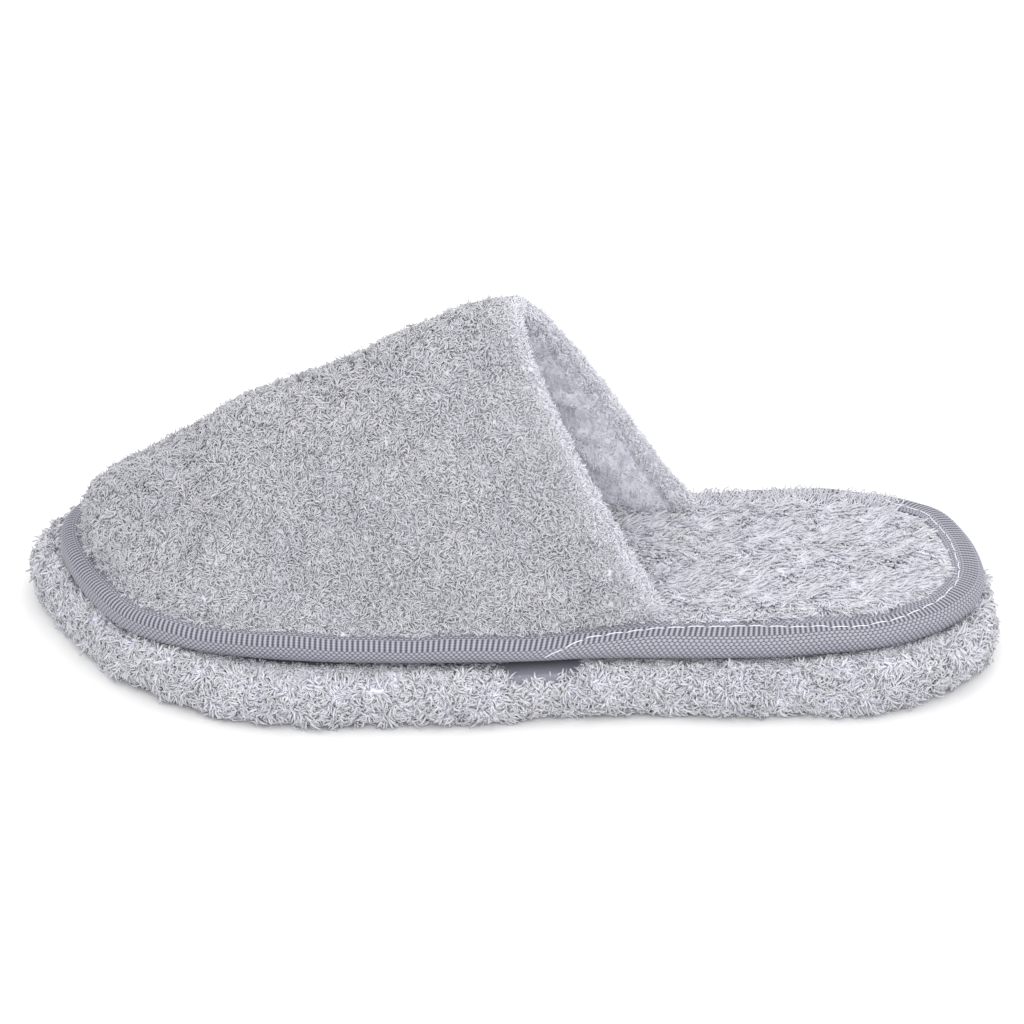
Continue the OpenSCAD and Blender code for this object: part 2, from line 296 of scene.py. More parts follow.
def strands(name, root, up, lay, length, thick, lean, twist, shade, segments, taper=0.55):
    """Yarn strands as closed three-sided tubes. Each starts at its root and turns from
    lean[:, 0] to lean[:, 1] away from up, towards lay, while twist turns it about up.
    In the UV map, U is the strand's shade (0 to 1) and V runs from root to tip."""
    n = len(root)
    sides = 3
    side = np.cross(up, lay)
    points = [root]
    steps = []
    for k in range(segments):
        v = (k + 0.5) / segments
        phi = (lean[:, 0] + (lean[:, 1] - lean[:, 0]) * v)[:, None]
        psi = (twist * v)[:, None]
        step = up * np.cos(phi) + (lay * np.cos(psi) + side * np.sin(psi)) * np.sin(phi)
        steps.append(step)
        p = points[-1] + step * (length / segments)[:, None]
        p[:, 2] = np.maximum(p[:, 2], ON_GROUND)
        points.append(p)
    e = unit(np.cross(steps[0], side + 0.3 * up + 0.01))
    rings = []
    for k, p in enumerate(points):
        d = unit(steps[max(k - 1, 0)] + steps[min(k, segments - 1)])
        e = unit(e - (e * d).sum(-1, keepdims=True) * d)
        f = np.cross(d, e)
        v = k / segments
        r = (thick / 2 * (1 - (1 - taper) * v**2) * (0.75 + 0.25 * min(1, 3 * v)))[:, None]
        for j in range(sides):
            a = 2 * math.pi * j / sides
            rings.append(p + r * (math.cos(a) * e + math.sin(a) * f))
    per = (segments + 1) * sides
    points = np.stack(rings, 1).reshape(-1, 3)
    quads, quad_uv = [], []
    for k in range(segments):
        for j in range(sides):
            m = (j + 1) % sides
            quads.append([k * sides + j, k * sides + m, (k + 1) * sides + m, (k + 1) * sides + j])
            u0, u1 = (0, 0.5) if j == 0 else (0.5, 1) if j == 1 else (1, 0)
            v0, v1 = k / segments, (k + 1) / segments
            quad_uv.append([(u0, v0), (u1, v0), (u1, v1), (u0, v1)])
    top = segments * sides
    tris = [[2, 1, 0], [top, top + 1, top + 2]]
    tri_uv = [[(1, 0), (0.5, 0.03), (0, 0)], [(0, 1), (0.5, 0.97), (1, 1)]]
    one = np.array([i for q in quads for i in q] + [i for t in tris for i in t])
    one_uv = np.array([c for q in quad_uv for c in q] + [c for t in tri_uv for c in t])
    sizes = np.array([4] * len(quads) + [3] * len(tris))
    loops = (np.arange(n)[:, None] * per + one[None, :]).ravel()
    starts = (np.arange(n)[:, None] * len(one)
              + np.concatenate([[0], np.cumsum(sizes)[:-1]])[None, :]).ravel()
    shade = np.clip((shade * SHADES).astype(int), 0, SHADES - 1)
    uv = np.empty((n, len(one), 2))
    uv[..., 0] = (shade[:, None] + 0.1 + 0.8 * one_uv[None, :, 0]) / SHADES
    uv[..., 1] = 0.02 + 0.96 * one_uv[None, :, 1]
    return new_mesh(name, points, loops, starts, uv.reshape(-1, 2))


def quad_areas(g, closed, weight=None):
    """The vertex numbers of a grid's quads, and the quads' areas, weighted if a weight is given."""
    q = grid_quads(g.shape[0], g.shape[1], closed)
    a, b, c, d = (g.reshape(-1, 3)[q[..., k]] for k in range(4))
    area = np.linalg.norm(np.cross(c - a, d - b), axis=-1) / 2
    return q, area if weight is None else area * weight


def scatter(g, count, rng, closed=False, weight=None):
    """Evenly spread random places on a grid of points: (points, normals, row directions,
    row numbers, column numbers), count of them in all."""
    q, area = quad_areas(g, closed, weight)
    total = np.cumsum(area.ravel())
    pick = np.searchsorted(total, (np.arange(count) + rng.uniform(0, 1, count)) / count * total[-1])
    pick = np.minimum(pick, area.size - 1)
    i, j = np.divmod(pick, area.shape[1])
    x, y = rng.uniform(0, 1, count)[:, None], rng.uniform(0, 1, count)[:, None]
    corner = [g.reshape(-1, 3)[q[..., k]].reshape(-1, 3)[pick] for k in range(4)]

    def mixed(m):
        return (m[0] * (1 - x) * (1 - y) + m[1] * x * (1 - y) + m[2] * x * y + m[3] * (1 - x) * y)

    normals = grid_normals(g, closed).reshape(-1, 3)
    up = unit(mixed([normals[q[..., k]].reshape(-1, 3)[pick] for k in range(4)]))
    along = corner[1] - corner[0] + corner[2] - corner[3]
    along = unit(along - (along * up).sum(-1, keepdims=True) * up)
    return mixed(corner), up, along, i + x[:, 0], j + y[:, 0]


def turned(along, up, angle):
    """along, turned about up by angle."""
    side = np.cross(up, along)
    return along * np.cos(angle)[:, None] + side * np.sin(angle)[:, None]


# ---------------------------------------------------------------- materials
def material(name):
    m = bpy.data.materials.new(name)
    m.use_nodes = True
    nodes, links = m.node_tree.nodes, m.node_tree.links
    nodes.clear()
    out = nodes.new("ShaderNodeOutputMaterial")
    shader = nodes.new("ShaderNodeBsdfPrincipled")
    links.new(shader.outputs[0], out.inputs[0])
    return m, nodes, links, shader


def uv_parts(nodes, links):
    """A node whose first two outputs are the bake map's U and V."""
    uv = nodes.new("ShaderNodeUVMap")
    uv.uv_map = BAKE_UV
    parts = nodes.new("ShaderNodeSeparateXYZ")
    links.new(uv.outputs[0], parts.inputs[0])
    return parts


def ramp(nodes, links, source, stops):
    r = nodes.new("ShaderNodeValToRGB")
    links.new(source, r.inputs[0])
    while len(r.color_ramp.elements) < len(stops):
        r.color_ramp.elements.new(0.5)
    for e, (at, colour) in zip(r.color_ramp.elements, stops):
        e.position = at
        e.color = (*colour, 1)
    return r.outputs[0]


def multiplied(nodes, links, a, b):
    mix = nodes.new("ShaderNodeMix")
    mix.data_type, mix.blend_type = "RGBA", "MULTIPLY"
    mix.inputs[0].default_value = 1
    links.new(a, mix.inputs[6])
    links.new(b, mix.inputs[7])
    return mix.outputs[2]


def grey(v, blue=1.045):
    return (v, v, v * blue)


def pile_material(name, root, tip, spread):
    """Yarn coloured by a ramp from root to tip. The ramp is painted light: it evens out the shade between
    strands and the highlights on the tips, and gives a bluer root. Each strand also has its own random
    tone.
    """
    m, nodes, links, shader = material(name)
    parts = uv_parts(nodes, links)
    # painted light: the root-to-tip ramp lifts the shade between strands and dims the lit tips
    length = ramp(nodes, links, parts.outputs[1],
                  [(0.0, grey(root, 1.1)), (0.45, grey((root + 2 * tip) / 3)), (1.0, grey(tip))])
    shade = ramp(nodes, links, parts.outputs[0], [(0.0, grey(1 - spread)), (1.0, grey(1.0, 1.0))])
    links.new(multiplied(nodes, links, length, shade), shader.inputs["Base Color"])
    shader.inputs["Roughness"].default_value = 0.85
    shader.inputs["Specular IOR Level"].default_value = 0.15
    shader.inputs["Sheen Weight"].default_value = 0.1
    shader.inputs["Sheen Roughness"].default_value = 0.5
    return m


def cloth_material(name, low, high, scale, bump=0.3, rough=0.9, blue=1.045):
    """Cloth with a fine, uneven grain."""
    m, nodes, links, shader = material(name)
    coordinates = nodes.new("ShaderNodeTexCoord")
    noise = nodes.new("ShaderNodeTexNoise")
    noise.inputs["Scale"].default_value = scale
    noise.inputs["Detail"].default_value = 5
    links.new(coordinates.outputs["Object"], noise.inputs["Vector"])
    stops = [(0.3, grey(low, blue + 0.035)), (0.7, grey(high, blue))]
    links.new(ramp(nodes, links, noise.outputs[0], stops), shader.inputs["Base Color"])
    lift = nodes.new("ShaderNodeBump")
    lift.inputs["Strength"].default_value = bump
    lift.inputs["Distance"].default_value = 0.0004
    links.new(noise.outputs[0], lift.inputs["Height"])
    links.new(lift.outputs[0], shader.inputs["Normal"])
    shader.inputs["Roughness"].default_value = rough
    return m


# The ground cloths are set paler than the yarn over them, and most yarn roots paler than their tips. This
# is painted light that lifts the shade seen between the strands. The darker tips are painted shade that
# dims their highlights.
GROUND = cloth_material("terry_ground", 0.64, 0.74, 2600)
BED_GROUND = cloth_material("bed_ground", 0.92, 0.96, 2600)
VAMP_YARN = pile_material("vamp_yarn", 0.60, 0.58, 0.17)
BED_YARN = pile_material("bed_yarn", 0.97, 0.56, 0.02)
PAD_YARN = pile_material("pad_yarn", 0.97, 0.50, 0.03)
BAND_YARN = pile_material("band_yarn", 0.78, 0.76, 0.12)
NAP = pile_material("lining_nap", 0.93, 0.94, 0.04)
FLEECE = cloth_material("lining_fleece", 0.92, 0.95, 500, 0.4)
# The pad's top cloth is real, but its near-black, bluish colour is painted shadow: the shade under the
# raised tape at the hollow.
TOP_CLOTH_PAINTED_SHADOW = cloth_material("pad_top_cloth_painted_shadow", 0.18, 0.23, 3000, 0.2, blue=1.2)
THREAD = cloth_material("white_thread", 0.72, 0.84, 5000, 0.4, 0.55)
FOAM = cloth_material("foam", 0.60, 0.72, 1500)
BOND = cloth_material("bond", 0.30, 0.40, 800)
BOARD = cloth_material("board", 0.35, 0.45, 700)


# ---------------------------------------------------------------- vamp: terry, lining, throat
ROW_CROWDING = 1.3  # above 1, a vamp grid's rows crowd towards the toe


def vamp_grid(d, rows, cols, foot_out=0.0):
    """The vamp at depth d, less foot_out along its seam, and how free it is to bulge there."""
    s = THROAT_S * np.linspace(0, 1, rows)[:, None] ** ROW_CROWDING
    t = np.linspace(0, 1, cols)[None, :]
    free = smooth(s / 0.12) * smooth(t / 0.1) * smooth((1 - t) / 0.1)
    foot = smooth(s / 0.04) * smooth(t / 0.03) * smooth((1 - t) / 0.03)
    return vamp_face(s, t, d - foot_out * (1 - foot)), free


INSIDE = np.array([-40.0, 0.0, Z_SEAM + 10])  # a point within the vamp, under its crown


def faces_out(g):
    """Whether the grid's normals face away from the room inside the vamp."""
    return ((g - INSIDE) * grid_normals(g)).sum(-1).mean() > 0


def outward(g):
    """The grid's normals, turned away from the room inside the vamp."""
    return grid_normals(g) if faces_out(g) else -grid_normals(g)


def turn_out(g):
    """The grid with its columns in the order that makes its normals face outwards."""
    return g if faces_out(g) else g[:, ::-1]


vamp_cloth_grid, vamp_free = vamp_grid(VAMP_PILE, 90, 140, 1.2)
vamp_out = outward(vamp_cloth_grid)
bulge = 1.1 * ripples(vamp_cloth_grid, 62, 3) + 0.5 * ripples(vamp_cloth_grid, 24, 4)
vamp_cloth_grid += vamp_out * (vamp_free * np.maximum(bulge, -1.0))[..., None]
vamp_cloth_grid = turn_out(vamp_cloth_grid)
vamp_cloth = place(grid_mesh("vamp_terry_cloth", vamp_cloth_grid), GROUND)
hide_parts("vamp_terry")

lining_grid, lining_free = vamp_grid(LINING_DEPTH, 120, 150)
lining_in = -outward(lining_grid)
soft = (0.9 * ripples(lining_grid, 30, 8) + 0.5 * ripples(lining_grid, 11, 9)
        + 0.2 * ripples(lining_grid, 5, 10))
# it is flat beside the band
to_band = smooth(THROAT_S * (1 - np.linspace(0, 1, 120)[:, None] ** ROW_CROWDING) / 0.1)
lining_grid += lining_in * (0.2 + lining_free * (0.8 + to_band * np.maximum(soft, -0.8)))[..., None]
lining_grid = turn_out(lining_grid)[:, ::-1]
lining = place(grid_mesh("vamp_fleece_lining", lining_grid), FLEECE)
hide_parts("vamp_lining")


def facing_grid(cols, rows=22):
    """The band turned in round the throat's edge, from the outer cloth to the lining."""
    t = np.linspace(0.004, 0.996, cols)[:, None]
    outline = np.array([(-6.5, VAMP_PILE + 0.1), (-2.4, VAMP_PILE - 0.2), (-0.7, VAMP_PILE + 0.6), (0, 4.6),
                        (-0.6, LINING_DEPTH), (-2, LINING_DEPTH + 0.8), (-3.5, LINING_DEPTH + 0.9),
                        (-FACING_W, LINING_DEPTH + 0.8), (-FACING_W - 0.4, LINING_DEPTH - 0.1)])
    f = np.linspace(0, 1, rows)
    k = np.linspace(0, 1, len(outline))
    a, d = (np.interp(f, k, outline[:, c])[None, :] + 0 * t for c in (0, 1))
    flare = 2.5 * smooth((t - 0.92) / 0.06)  # it stands out at its inner foot
    return past_throat(t + 0 * a, a + flare * smooth((a + 5) / 5), d)


throat_grid = facing_grid(150)
edge_middle = past_throat(np.array([0.5]), np.array([0.0]), np.array([4.5]))[0]
if ((grid_normals(throat_grid)[75, 11]) * (throat_grid[75, 11] - edge_middle)).sum() < 0:
    throat_grid = throat_grid[::-1]
throat_cloth = place(grid_mesh("throat_facing_cloth", throat_grid), GROUND)
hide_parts("throat_facing")


# ---------------------------------------------------------------- pile
def tufts(p, seed):
    """Which way the pile lies, in radians: neighbours curl together in small tufts."""
    return ripples(p, TUFT, seed) * 2.0 + ripples(p, 24, seed + 1) * 2.4


def curly_pile(name, g, density, seed, size, thick, yarn, closed=False, weight=None,
               lean=(0.15, 1.75), twist=1.6, parts=1, lay_by=None, lay_spread=0.45, shorter=None,
               segments=4, parting_shade_share=0.45):
    """Curly pile over a grid of points: density strands for each square mm, size (mean, spread)
    their length in mm. It comes in parts pieces, which share one look. The last argument is how
    far neighbouring strands share one tone in patches: painted shade, standing in for the
    shading where the pile parts."""
    share = 1.0
    rng = np.random.default_rng(seed)
    count = int(quad_areas(g, closed, weight)[1].sum() * density * share)
    root, up, along, i, j = scatter(g, count, rng, closed, weight)
    if lay_by is None:
        angle = tufts(root, seed) + rng.normal(0, lay_spread, count)
        lay = turned(along, up, angle)
    else:
        flat = lay_by - (lay_by * up).sum(-1, keepdims=True) * up
        angle = (rng.normal(0, lay_spread, count) + 0.5 * ripples(root, 16, seed)
                 + 0.5 * ripples(root, TUFT, seed + 1))
        lay = turned(unit(flat), up, angle)
    start = np.clip(rng.normal(lean[0], 0.2, count) + 0.2 * ripples(root, TUFT, seed + 2), -0.3, 1.3)
    curl = rng.normal(lean[1] - lean[0], 0.35, count) + 0.5 * ripples(root, TUFT, seed + 3)
    end = start + np.clip(curl, 0.1, 2.8)
    length = size[0] + size[1] * rng.normal(0, 1, count)
    length = np.clip(length, 0.5 * size[0], 1.6 * size[0])
    if shorter is not None:
        length = length * shorter(i, j)
    wide = thick * rng.uniform(0.8, 1.2, count) * 1.0
    bend = rng.normal(0, twist / 2, count) + twist * ripples(root, TUFT, seed + 4)
    # painted shade: patches of darker and paler strands stand in for the shading where the pile parts
    parting_shade_patch = 0.5 + 0.3 * ripples(root, 8, seed + 5) + 0.3 * ripples(root, 22, seed + 6)
    shade = np.clip((1 - parting_shade_share) * rng.beta(2.2, 2.2, count) + parting_shade_share * parting_shade_patch, 0, 1)
    made = []
    order = np.argsort(i, kind="stable") if parts > 1 else np.arange(count)
    for k, some in enumerate(np.array_split(order, parts)):
        piece = strands(f"{name}_{k + 1}" if parts > 1 else name, root[some], up[some], lay[some],
                        length[some], wide[some], np.stack([start, end], -1)[some], bend[some],
                        shade[some], segments)
        made.append(place(piece, yarn))
    return made


def vamp_short(i, j):
    """The pile is brushed down beside the throat."""
    return 1 - 0.25 * smooth(((i / (len(vamp_cloth_grid) - 1)) ** ROW_CROWDING - 0.9) / 0.08)


vamp_pile = curly_pile("vamp_pile", vamp_cloth_grid, 2.8, 11, (2.8, 0.4), 0.58,
                       VAMP_YARN, lean=(0.4, 2.1), parts=11, shorter=vamp_short, segments=3)
throat_pile = curly_pile("throat_pile", throat_grid, 3.4, 12, (1.8, 0.35), 0.36,
                         BAND_YARN, lean=(0.2, 1.4), parts=2, segments=3)

# the lining's brushed nap: short fine fibres, densest by the throat, where they are seen
seen = np.linspace(0.3, 2.0, len(lining_grid) - 1)[:, None] * np.ones((1, lining_grid.shape[1] - 1))
lining_nap = curly_pile("lining_nap", lining_grid, 1.1, 13, (1.8, 0.4), 0.26, NAP,
                        weight=seen, lean=(0.6, 1.6), parts=3, segments=2)

# ---------------------------------------------------------------- foot bed
def nearest(g, line):
    """How far each point of a grid lies from a line of flat points, and the nearest one's number."""
    away = np.linalg.norm(g[..., None, :2] - line, axis=-1)
    return away.min(-1), away.argmin(-1)


def bed_grid(rows, cols, inset, z, uneven, rise=0.0, rise_from=8.0):
    """A sheet inside the outline: rows run from one long side to the other, cols toe to heel.
    It rises by rise from rise_from mm inside its edge."""
    edge_u = np.linspace(0, SHAPE_N, 2001)
    edge = rim_in(edge_u, inset)
    heel_i = edge[:, 0].argmax()
    x = (edge[:, 0].min() + 0.15
         + (np.ptp(edge[:, 0]) - 0.3) * (1 - np.cos(np.linspace(0, np.pi, cols))) / 2)
    half = np.roll(edge[:-1], -(heel_i % 2000), 0)
    split = half[:, 0].argmin()
    far, near = half[: split + 1], half[split:]
    y_far = np.interp(x, far[::-1, 0], far[::-1, 1])
    y_near = np.interp(x, near[:, 0], near[:, 1])
    f = np.linspace(0, 1, rows)[:, None]
    g = np.stack([x[None, :] + 0 * f, y_near + (y_far - y_near) * f, z + 0 * (x + f)], -1)
    g[..., 2] += uneven * ripples(g, 34, 21)
    g[..., 2] += rise * smooth((nearest(g, edge[::5])[0] - rise_from) / 5)
    return g


bed_cloth_grid = bed_grid(60, 160, 2.6, Z_SEAM, 0.25, 1.1)
bed_cloth = place(grid_mesh("insole_terry_cloth", bed_cloth_grid, flip=True), BED_GROUND)
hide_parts("insole_terry")

rim_u = np.linspace(0, SHAPE_N, 2001)
heel = smooth(1 - abs((rim_u + SHAPE_N / 2) % SHAPE_N - SHAPE_N / 2 - 0.1) / 1.7)
bed_pile_grid = bed_grid(60, 160, 11.0 + 1.6 * heel, Z_SEAM + 0.1, 0.25, 1.1, -0.4)[:, ::-1]
deep = np.clip((bed_pile_grid[:-1, :-1, 0] + 95) / 60, 0.15, 1)  # thin it deep under the vamp
sweep = unit(np.array([[0.6, -0.8, 0.0]]))
bed_pile = curly_pile("insole_pile", bed_pile_grid, 2.4, 14, (4.2, 0.7), 0.84, BED_YARN,
                      weight=deep, lean=(1.24, 1.5), twist=0.5, parts=8, lay_by=sweep, lay_spread=0.4,
                      segments=3)

# along the inner side of the foot the pile spreads over the tape
fringe_u = np.linspace(1.35, 3.0, 90)
fringe_w = np.linspace(5.0, 12.5, 12)
fringe_flat = rim_in(np.repeat(fringe_u[:, None], 12, 1), np.broadcast_to(fringe_w, (90, 12)))
fringe_grid = np.concatenate([fringe_flat, np.full((90, 12, 1), Z_SEAM + 0.3)], -1)[::-1]
if grid_normals(fringe_grid)[45, 6, 2] < 0:
    fringe_grid = fringe_grid[::-1]
bed_pile += curly_pile("insole_fringe", fringe_grid, 2.2, 17, (3.6, 0.6), 0.55, BED_YARN,
                       lean=(0.6, 1.7), twist=1.0, lay_by=np.array([[0.25, 0.6, 0.0]]), lay_spread=0.6)

# ---------------------------------------------------------------- sole pad
PAD_PROFILE = np.array([(14, 1.5), (8, 1.5), (4.6, 2.0), (2.8, 4.0), (2.1, 7.0), (2.1, 11.0),
                        (3.0, 13.9), (5.6, 15.3), (9, 15.6), (15, 15.6)])


def soft_line(points, count):
    """A smooth line through the points, evenly spaced in length."""
    k = np.vstack([2 * points[0] - points[1], points, 2 * points[-1] - points[-2]])
    v = np.linspace(0, len(points) - 1.0001, 400)
    i = np.floor(v).astype(int)
    p = curve(k[i], k[i + 1], k[i + 2], k[i + 3], (v - i)[:, None])
    run = np.concatenate([[0], np.cumsum(np.linalg.norm(np.diff(p, axis=0), axis=1))])
    at = np.linspace(0, run[-1], count)
    return np.stack([np.interp(at, run, p[:, c]) for c in range(points.shape[1])], -1)


def swept(u, line, inwards):
    """A profile of (inset, z) points carried along the outline's places u."""
    flat = inwards(np.repeat(u[:, None], len(line), 1), np.broadcast_to(line[:, 0], (len(u), len(line))))
    return np.concatenate([flat, np.broadcast_to(line[:, 1], (len(u), len(line)))[..., None]], -1)


def hollow(u):
    """1 at the place on the outer side where the pad's smooth top cloth shows under the tape; the cloth is
    coloured dark there as painted shadow.
    """
    v = np.asarray(u, float) % SHAPE_N
    return smooth((v - 12.0) / 0.75) * smooth((12.98 - v) / 0.25)


def pad_sag(u):
    """How far the pad's upper edge sags along the outer side, in mm."""
    v = np.asarray(u, float) % SHAPE_N
    along_vamp = smooth((v - 10.4) / 0.7) * smooth((12.9 - v) / 0.3)
    along_heel = smooth((v - 12.6) / 0.3) * smooth((14.6 - v) / 0.6)
    return 1.1 * along_vamp + 0.5 * along_heel + 1.2 * smooth((hollow(v) - 0.4) / 0.6)


pad_u = even_stations(361)[0][:-1]
pad_side_grid = swept(pad_u, soft_line(PAD_PROFILE, 26), pad_in)
pad_side_grid[..., 2] -= pad_sag(pad_u)[:, None] * smooth((pad_side_grid[..., 2] - 9) / 6)
pad_across = np.linspace(0, 1, 26)
pad_free = (smooth(pad_across / 0.25) * smooth((1 - pad_across) / 0.3))[None, :, None]
pad_normals = grid_normals(pad_side_grid, True)
if (pad_normals[0, 12, 0]) < 0:
    pad_side_grid, pad_u = pad_side_grid[::-1], pad_u[::-1]
    pad_normals = grid_normals(pad_side_grid, True)
pad_bulge = 0.7 * ripples(pad_side_grid, 30, 31) + 0.4 * ripples(pad_side_grid, 11, 32)
pad_side_grid = pad_side_grid + pad_normals * pad_free * np.maximum(pad_bulge, -0.7)[..., None]
pad_cloth = place(grid_mesh("sole_terry_side", pad_side_grid, closed=True), BED_GROUND)
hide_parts("sole_terry_cover")


def pad_short(i, j):
    """The pile is short under the tape, and nearly gone where the smooth top cloth shows."""
    bare = np.interp(i, np.arange(len(pad_u)), hollow(pad_u))
    under = smooth((j / (pad_side_grid.shape[1] - 1) - 0.71 + 0.05 * bare) / 0.10)
    return 1 - (0.6 + 0.12 * bare) * under


curly_pile("sole_pile", pad_side_grid, 2.1, 15, (3.6, 0.6), 0.82, PAD_YARN,
           closed=True, lean=(0.3, 2.2), parts=7, shorter=pad_short, segments=3)

# it ends under the inner edge of the side cloth
under_inset = PAD_PROFILE[0, 0] - 0.4 - shape_curve(rim_u)[:, 2]
pad_under_grid = bed_grid(60, 150, under_inset, PAD_PROFILE[0, 1], 0.0)
place(grid_mesh("sole_terry_underside", pad_under_grid), GROUND)
curly_pile("sole_under_pile", pad_under_grid, 0.7, 16, (2.6, 0.5), 0.6, PAD_YARN,
           lean=(1.0, 1.6), parts=3, segments=2)

# at the hollow it reaches out over the pad's shoulder and bends down there
shows = smooth(hollow(rim_u) / 0.5)
panel_inset = 4.0 * (1 - shows) + (3.0 - shape_curve(rim_u)[:, 2]) * shows
top_panel_grid = bed_grid(200, 200, panel_inset, pad_cloth_high[2], 0.2)
panel_gap, panel_at = nearest(top_panel_grid, rim_in(rim_u, panel_inset)[::5])
top_panel_grid[..., 2] -= shows[::5][panel_at] * (0.3 + 1.8 * (1 - smooth(panel_gap / 2.0)))
# painted shadow: the top panel's dark colour stands in for the shade under the tape
top_panel = place(grid_mesh("sole_top_panel", top_panel_grid, flip=True), TOP_CLOTH_PAINTED_SHADOW)
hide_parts("sole_top_cloth")

# ---------------------------------------------------------------- binding tape
RIBS = 432
RIB_POINTS = 4
RIBS_IN_TILE = 24
ROWS = 26  # rows of the weave across the tape
# except between these shares of its width, every other row is set off by half a rib
BRICK_TO, BRICK_FROM = 0.69, 0.86
z_low, z_high = tape_low[2], tape_high[2]
TAPE_BY_VAMP = np.array([(TAPE_UNDER_W, z_low), (5, z_low), (1.8, z_low + 0.3), (0.3, z_low + 1.8),
                         (0, z_low + 4), (0.4, z_high - 1.9), (1.9, z_high - 0.4), (3.6, z_high - 0.1),
                         (4.6, z_high - 0.9)])
TAPE_BY_HEEL = np.array([(TAPE_UNDER_W, z_low + 0.2), (5, z_low + 0.2), (1.8, z_low + 0.45),
                         (0.4, z_low + 1.9), (0, z_low + 4.1), (0.4, z_high - 2.0), (2.2, z_high - 0.3),
                         (6.0, z_high + 0.3), (TAPE_FLAT_W, z_high + 0.1)])
TAPE_BY_TOE = np.array([(TAPE_UNDER_W, z_low), (5, z_low), (1.8, z_low + 0.3), (0.3, z_low + 1.8),
                        (0, z_low + 3.8), (0.3, z_high - 2.0), (1.9, z_high - 0.6), (4.5, z_high - 0.1),
                        (6.7, z_high - 0.5)])
tape_u = even_stations(RIBS * RIB_POINTS + 1)[0][:-1]
tape_cols = 2 * ROWS + 1


def tape_point(u, b, lift=0.0):
    """A point of the tape's outer face: b from its lower inner edge (0) to its upper one (1)."""
    u, b = np.broadcast_arrays(np.asarray(u, float), np.asarray(b, float))
    at = np.linspace(0, 1, 200)
    toe, vamp = by_toe(u), by_vamp(u)
    inset, z = 0, 0
    for share, profile in ((toe, TAPE_BY_TOE), (vamp - toe, TAPE_BY_VAMP), (1 - vamp, TAPE_BY_HEEL)):
        line = soft_line(profile, 200)
        inset = inset + share * np.interp(b, at, line[:, 0])
        z = z + share * np.interp(b, at, line[:, 1])
    flat = rim_in(u, inset)
    p = np.concatenate([flat, z[..., None]], -1)
    wave = 0.35 * ripples(np.stack([rim(u)[..., 0], rim(u)[..., 1], 0 * u], -1), 26, 41)
    p[..., 2] += wave * smooth((b - 0.4) / 0.3)
    return p


tape_b = np.linspace(0, 1, tape_cols)
skew = 0.12 * ripples(np.stack([rim(tape_u)[:, 0], rim(tape_u)[:, 1], 0 * tape_u], -1), 150, 42)
tape_grid = tape_point(tape_u[:, None] + skew[:, None] * (tape_b - 0.7), tape_b[None, :])
tape_normals = grid_normals(tape_grid, True)
outer = (tape_grid[..., 0] * tape_normals[..., 0] + tape_grid[..., 1] * tape_normals[..., 1])[:, ROWS]
if outer.mean() < 0:
    tape_grid, tape_normals, tape_u = tape_grid[::-1], tape_normals[::-1] * -1, tape_u[::-1]
    tape_normals = grid_normals(tape_grid, True)
set_off = (np.arange(tape_cols) // 2 % 2 == 1) & ((tape_b < BRICK_TO) | (tape_b > BRICK_FROM))
phase = np.arange(RIBS * RIB_POINTS)[:, None] + np.where(set_off, RIB_POINTS // 2, 0)[None, :]
rib_lift = np.array([-0.16, 0.04, 0.1, 0.04])[phase % RIB_POINTS]
row_lift = np.where(np.arange(tape_cols) % 2 == 0, -0.06, 0.06)
tape_grid = tape_grid + tape_normals * (rib_lift + row_lift[None, :])[..., None]


def tape_material():
    """Ribbed weave: ribs across the tape, each a row of small raised stitches. Its colour follows the
    weave's height: painted shade in the grooves, paler on the raised tops.
    """
    m, nodes, links, shader = material("woven_tape")
    parts = uv_parts(nodes, links)

    def sum_of(kind, one, *others):
        """A maths node over one and the others, each a number or another node's output."""
        node = nodes.new("ShaderNodeMath")
        node.operation = kind
        for k, value in enumerate((one, *others)):
            if isinstance(value, (int, float)):
                node.inputs[k].default_value = value
            else:
                links.new(value, node.inputs[k])
        return node.outputs[0]

    def wave(turns):
        return sum_of("MULTIPLY_ADD", sum_of("COSINE", sum_of("MULTIPLY", turns, 2 * math.pi)), -0.5, 0.5)

    rows = sum_of("MULTIPLY", parts.outputs[1], ROWS)
    odd = sum_of("GREATER_THAN", sum_of("FRACT", sum_of("MULTIPLY", rows, 0.5)), 0.5)
    low = sum_of("ADD", sum_of("LESS_THAN", parts.outputs[1], BRICK_TO),
                 sum_of("GREATER_THAN", parts.outputs[1], BRICK_FROM))
    set_off = sum_of("MULTIPLY", sum_of("MULTIPLY", odd, low), 0.5)
    across = wave(sum_of("MULTIPLY_ADD", parts.outputs[0], RIBS_IN_TILE, set_off))
    along = wave(rows)
    depth = sum_of("MULTIPLY_ADD", low, 0.3, 0.25)
    height = sum_of("MULTIPLY_ADD", along, depth, across)
    # painted shade: the colour darkens with the weave's depth, near black in the grooves and deepest in the
    # set-off rows
    links.new(ramp(nodes, links, height,
                   [(0.1, (0.05, 0.05, 0.07)), (0.5, (0.16, 0.16, 0.195)), (1.0, (0.33, 0.33, 0.38))]),
              shader.inputs["Base Color"])
    lift = nodes.new("ShaderNodeBump")
    lift.inputs["Strength"].default_value = 0.5
    lift.inputs["Distance"].default_value = 0.0002
    links.new(height, lift.inputs["Height"])
    links.new(lift.outputs[0], shader.inputs["Normal"])
    shader.inputs["Roughness"].default_value = 0.5
    shader.inputs["Specular IOR Level"].default_value = 0.3
    return m


TAPE = tape_material()
tape = place(grid_mesh("edge_binding_tape", tape_grid, closed=True, uv_tiles=RIBS // RIBS_IN_TILE),
             TAPE)
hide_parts("edge_binding")

